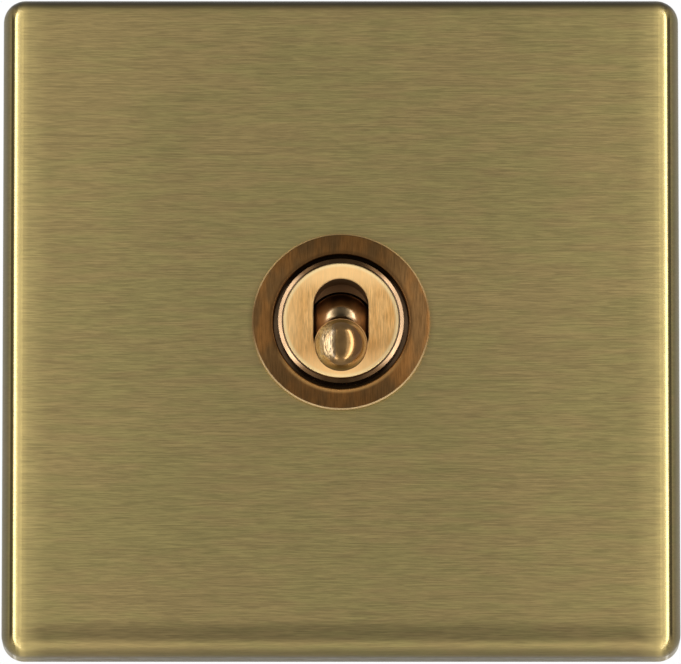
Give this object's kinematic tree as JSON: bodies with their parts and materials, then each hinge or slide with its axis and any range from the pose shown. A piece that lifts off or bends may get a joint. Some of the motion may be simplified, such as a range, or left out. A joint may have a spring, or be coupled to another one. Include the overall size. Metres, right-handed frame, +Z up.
{
  "type": "brass dolly switch",
  "caption": "Square antique-brass wall plate with no visible screws, a dark ring, a bright slotted collar and a ball-ended dolly that tips up and down.",
  "frame": {"origin": "on the dolly's axis at the wall's surface, midway between the two fixing slots", "axes": "+X right and +Z up as seen from the room, +Y into the wall"},
  "size_m": [0.088, 0.0384, 0.0863],
  "materials": {
    "plate": "brushed antique brass, grain across",
    "ring": "dark bronze, fine upright grain",
    "collar": "bright copper gold, brushed face and polished rim",
    "dolly": "polished brass",
    "plain_brass": "plain turned brass",
    "silver": "dull silver",
    "zinc_steel": "zinc-plated pressed steel",
    "spring_steel": "tempered spring steel",
    "moulding": "satin black moulding"
  },
  "bodies": {
    "root": {"face_plate": "plate", "collar_ring": "ring", "ring_nut": "plain_brass", "dolly_bush": "collar", "bush_nut": "plain_brass", "lock_washer": "zinc_steel", "pivot_pin": "spring_steel", "fixed_contact_upper": "plain_brass", "fixed_contact_lower": "plain_brass", "fixed_rivets": "silver", "fulcrum_bracket": "plain_brass", "terminal_upper": "plain_brass", "terminal_lower": "plain_brass", "terminal_common": "plain_brass", "terminal_screws": "plain_brass", "switch_housing": "moulding", "housing_base": "moulding", "base_screws": "zinc_steel", "mounting_frame": "zinc_steel", "plate_clip_1": "spring_steel", "plate_clip_2": "spring_steel", "plate_clip_3": "spring_steel", "plate_clip_4": "spring_steel", "clip_rivets": "zinc_steel", "earth_terminal": "plain_brass", "earth_screw": "plain_brass"},
    "dolly": {"dolly": "dolly", "plunger_spring": "spring_steel"},
    "plunger": {"plunger": "plain_brass"},
    "rocker": {"rocker": "plain_brass", "rocker_contacts": "silver"}
  },
  "joints": [
    {"name": "dolly_hinge", "type": "hinge", "parent": "root", "child": "dolly", "pos_m": [0, -0.0035, 0], "axis": [-1, 0, 0], "range_deg": [0, 36]},
    {"name": "plunger_slide", "type": "slide", "parent": "dolly", "child": "plunger", "axis": [0, -0.9511, -0.309], "range_m": [0, 0.0008], "stiffness_N_per_m": 900, "springref_m": -0.002, "deforming": ["plunger_spring"]},
    {"name": "rocker_hinge", "type": "hinge", "parent": "root", "child": "rocker", "pos_m": [0, 0.0107, 0], "axis": [-1, 0, 0], "range_deg": [-18, 0]}
  ],
  "couplings": [
    {"joint": "rocker_hinge", "follows": "dolly_hinge", "ratio": -0.5}
  ]
}
